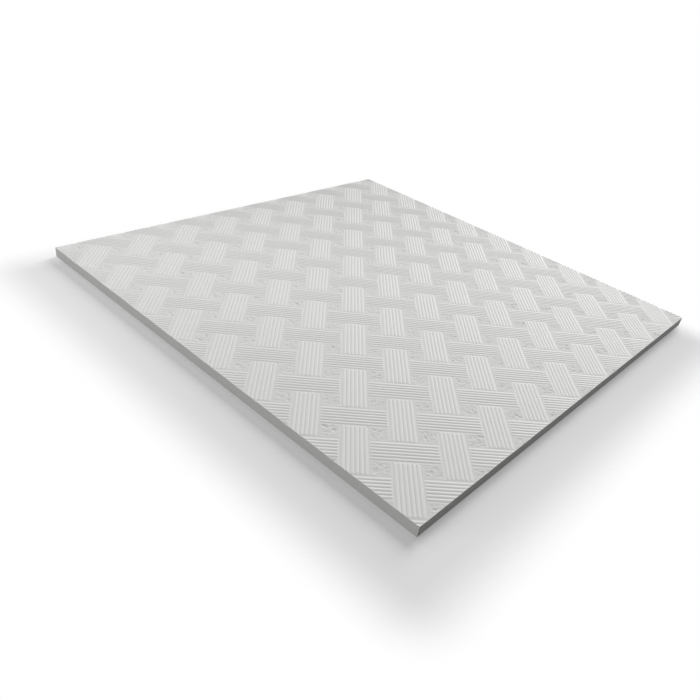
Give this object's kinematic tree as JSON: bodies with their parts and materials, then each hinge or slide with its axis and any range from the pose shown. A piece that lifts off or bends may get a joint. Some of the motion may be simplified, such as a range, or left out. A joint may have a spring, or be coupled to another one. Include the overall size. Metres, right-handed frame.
{
  "type": "gypsum ceiling tile",
  "caption": "Square lay-in ceiling tile of gypsum board, square-cut edges, white face embossed with a diagonal basket weave of flat strips around small sunk squares.",
  "frame": {"origin": "middle of the plain back, which lies on the floor", "axes": "+Z out of the patterned face, +X and +Y along the cut edges, with the strips of the weave on their diagonals"},
  "size_m": [0.595, 0.595, 0.0125],
  "materials": {
    "tile": "satin"
  },
  "bodies": {
    "root": {"gypsum_tile": "tile"}
  },
  "joints": []
}
